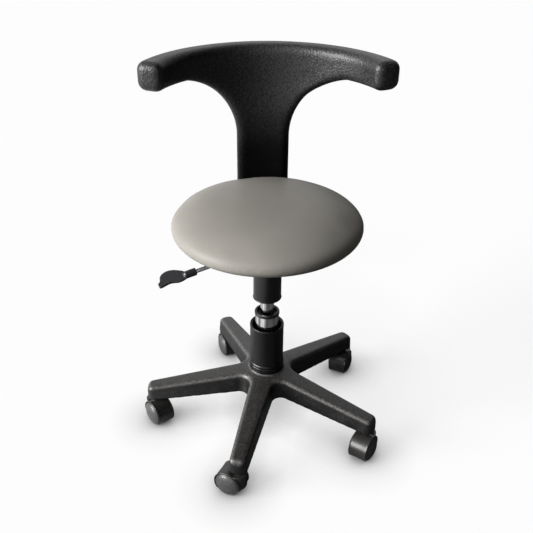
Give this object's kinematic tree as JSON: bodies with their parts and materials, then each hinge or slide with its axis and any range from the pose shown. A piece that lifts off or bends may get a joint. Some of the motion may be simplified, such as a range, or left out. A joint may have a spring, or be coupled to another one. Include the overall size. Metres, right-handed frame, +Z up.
{
  "type": "swivel stool",
  "caption": "Swivel work stool with a star base on twin-wheel casters, a gas lift with its height lever, a round padded seat and a T-shaped wrap-round backrest.",
  "frame": {"origin": "middle of the bounding box of the footprint, on the floor under the wheels", "axes": "+Z up; +Y towards the backrest, so the sitter faces -Y; +X to the sitter's left"},
  "size_m": [0.5011, 0.5013, 0.7519],
  "materials": {
    "black_nylon": "matte",
    "wheel_nylon": "satin",
    "black_plastic": "satin",
    "chrome": "polished",
    "acetal": "satin",
    "zinc": "satin",
    "rubber": "matte",
    "painted_steel": "satin",
    "plywood": "matte",
    "vinyl": "satin",
    "back_skin": "matte"
  },
  "bodies": {
    "base": {"base_star": "black_nylon", "stand_tube": "chrome", "guide_bush": "acetal", "lower_dust_cover": "black_plastic", "thrust_bearing": "zinc", "caster_stem_1": "zinc", "caster_stem_2": "zinc", "caster_stem_3": "zinc", "caster_stem_4": "zinc", "caster_stem_5": "zinc", "grip_ring_1": "zinc", "grip_ring_2": "zinc", "grip_ring_3": "zinc", "grip_ring_4": "zinc", "grip_ring_5": "zinc"},
    "piston_body": {"piston_rod": "zinc", "piston": "rubber", "retaining_clip": "zinc"},
    "seat_carrier": {"pressure_tube": "chrome", "tube_seal": "rubber", "upper_dust_cover": "black_plastic", "seat_plate": "painted_steel", "lever_pin": "zinc", "seat_bolt_1": "zinc", "seat_bolt_2": "zinc", "seat_bolt_3": "zinc", "seat_bolt_4": "zinc", "seat_board": "plywood", "seat_cushion": "vinyl", "backrest": "back_skin", "back_strap": "painted_steel", "strap_bolt_1": "zinc", "strap_bolt_2": "zinc", "back_bolt_1": "zinc", "back_bolt_2": "zinc"},
    "lever": {"lever_rod": "zinc", "lever_paddle": "black_plastic"},
    "valve": {"valve_button": "zinc"},
    "caster_1": {"caster_hood_1": "black_nylon", "caster_axle_1": "zinc"},
    "wheel_left_1": {"caster_wheel_left_1": "wheel_nylon"},
    "wheel_right_1": {"caster_wheel_right_1": "wheel_nylon"},
    "caster_2": {"caster_hood_2": "black_nylon", "caster_axle_2": "zinc"},
    "wheel_left_2": {"caster_wheel_left_2": "wheel_nylon"},
    "wheel_right_2": {"caster_wheel_right_2": "wheel_nylon"},
    "caster_3": {"caster_hood_3": "black_nylon", "caster_axle_3": "zinc"},
    "wheel_left_3": {"caster_wheel_left_3": "wheel_nylon"},
    "wheel_right_3": {"caster_wheel_right_3": "wheel_nylon"},
    "caster_4": {"caster_hood_4": "black_nylon", "caster_axle_4": "zinc"},
    "wheel_left_4": {"caster_wheel_left_4": "wheel_nylon"},
    "wheel_right_4": {"caster_wheel_right_4": "wheel_nylon"},
    "caster_5": {"caster_hood_5": "black_nylon", "caster_axle_5": "zinc"},
    "wheel_left_5": {"caster_wheel_left_5": "wheel_nylon"},
    "wheel_right_5": {"caster_wheel_right_5": "wheel_nylon"}
  },
  "joints": [
    {"name": "seat_swivel", "type": "hinge", "parent": "base", "child": "piston_body", "pos_m": [0.01475, 0.00602, 0.0581], "axis": [0, 0, 1], "continuous": true},
    {"name": "seat_height", "type": "slide", "parent": "piston_body", "child": "seat_carrier", "axis": [0, 0, 1], "range_m": [-0.1, 0]},
    {"name": "lever_lift", "type": "hinge", "parent": "seat_carrier", "child": "lever", "pos_m": [-0.01183, -0.00278, 0.4114], "axis": [-0.314, 0.9494, 0], "range_deg": [0, 7], "stiffness_Nm_per_rad": 1.5},
    {"name": "valve_press", "type": "slide", "parent": "seat_carrier", "child": "valve", "axis": [0, 0, -1], "range_m": [0, 0.0046]},
    {"name": "caster_1_swivel", "type": "hinge", "parent": "base", "child": "caster_1", "pos_m": [-0.22656, -0.00579, 0.0535], "axis": [0, 0, 1], "continuous": true},
    {"name": "wheel_left_1_roll", "type": "hinge", "parent": "caster_1", "child": "wheel_left_1", "pos_m": [-0.21735, -0.01801, 0.025], "axis": [0.7986, 0.6018, 0], "continuous": true},
    {"name": "wheel_right_1_roll", "type": "hinge", "parent": "caster_1", "child": "wheel_right_1", "pos_m": [-0.21735, -0.01801, 0.025], "axis": [0.7986, 0.6018, 0], "continuous": true},
    {"name": "caster_2_swivel", "type": "hinge", "parent": "base", "child": "caster_2", "pos_m": [-0.04859, -0.22713, 0.0535], "axis": [0, 0, 1], "continuous": true},
    {"name": "wheel_left_2_roll", "type": "hinge", "parent": "caster_2", "child": "wheel_left_2", "pos_m": [-0.06184, -0.21948, 0.025], "axis": [-0.5, -0.866, 0], "continuous": true},
    {"name": "wheel_right_2_roll", "type": "hinge", "parent": "caster_2", "child": "wheel_right_2", "pos_m": [-0.06184, -0.21948, 0.025], "axis": [-0.5, -0.866, 0], "continuous": true},
    {"name": "caster_3_swivel", "type": "hinge", "parent": "base", "child": "caster_3", "pos_m": [0.21691, -0.12628, 0.0535], "axis": [0, 0, 1], "continuous": true},
    {"name": "wheel_left_3_roll", "type": "hinge", "parent": "caster_3", "child": "wheel_left_3", "pos_m": [0.20792, -0.13865, 0.025], "axis": [0.809, -0.5878, 0], "continuous": true},
    {"name": "wheel_right_3_roll", "type": "hinge", "parent": "caster_3", "child": "wheel_right_3", "pos_m": [0.20792, -0.13865, 0.025], "axis": [0.809, -0.5878, 0], "continuous": true},
    {"name": "caster_4_swivel", "type": "hinge", "parent": "base", "child": "caster_4", "pos_m": [0.20304, 0.1574, 0.0535], "axis": [0, 0, 1], "continuous": true},
    {"name": "wheel_left_4_roll", "type": "hinge", "parent": "caster_4", "child": "wheel_left_4", "pos_m": [0.19645, 0.14359, 0.025], "axis": [0.9026, -0.4305, 0], "continuous": true},
    {"name": "wheel_right_4_roll", "type": "hinge", "parent": "caster_4", "child": "wheel_right_4", "pos_m": [0.19645, 0.14359, 0.025], "axis": [0.9026, -0.4305, 0], "continuous": true},
    {"name": "caster_5_swivel", "type": "hinge", "parent": "base", "child": "caster_5", "pos_m": [-0.07104, 0.23187, 0.0535], "axis": [0, 0, 1], "continuous": true},
    {"name": "wheel_left_5_roll", "type": "hinge", "parent": "caster_5", "child": "wheel_left_5", "pos_m": [-0.06543, 0.21763, 0.025], "axis": [0.9304, 0.3665, 0], "continuous": true},
    {"name": "wheel_right_5_roll", "type": "hinge", "parent": "caster_5", "child": "wheel_right_5", "pos_m": [-0.06543, 0.21763, 0.025], "axis": [0.9304, 0.3665, 0], "continuous": true}
  ],
  "couplings": [
    {"joint": "valve_press", "follows": "lever_lift", "m_per_rad": 0.034}
  ]
}
